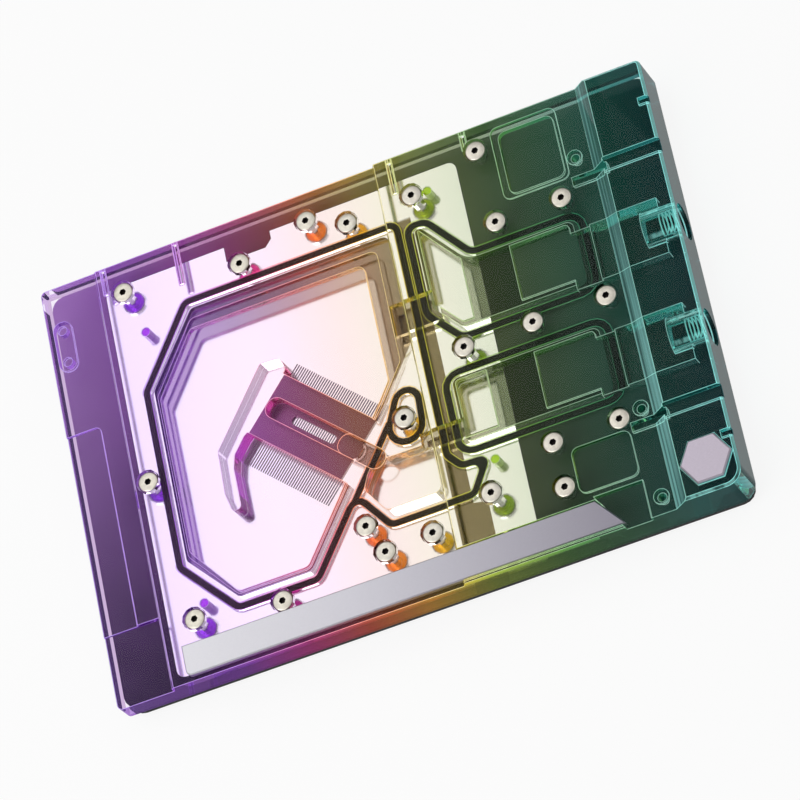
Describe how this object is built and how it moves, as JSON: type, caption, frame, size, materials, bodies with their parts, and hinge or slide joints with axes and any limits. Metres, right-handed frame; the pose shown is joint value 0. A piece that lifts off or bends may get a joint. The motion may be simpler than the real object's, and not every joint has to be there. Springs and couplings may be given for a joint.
{
  "type": "gpu water block",
  "caption": "Full-cover liquid cooling block for a graphics card: clear machined cover over a nickel-plated finned cold plate, two side ports.",
  "frame": {"origin": "centre of the block's outline, on the plane of the standoff feet", "axes": "+X along the length towards the ports, +Y across the width, +Z out of the clear cover"},
  "size_m": [0.23, 0.162, 0.0245],
  "materials": {
    "clear_acrylic": "polished",
    "nickel": "polished",
    "dark_frame": "satin",
    "steel": "brushed",
    "rubber": "matte",
    "screw_steel": "polished",
    "brass": "satin",
    "trim_aluminium": "satin",
    "board": "matte",
    "light_chip": "gloss"
  },
  "bodies": {
    "root": {"acrylic_top": "clear_acrylic", "cold_plate": "nickel", "rear_frame": "dark_frame", "jet_plate": "steel", "main_gasket": "rubber", "upper_channel_gasket": "rubber", "lower_channel_gasket": "rubber", "cover_screws": "screw_steel", "locating_pins": "screw_steel", "board_standoffs": "brass", "trim_strip": "trim_aluminium", "light_board": "board", "light_chips": "light_chip", "hex_badge": "nickel"}
  },
  "joints": []
}
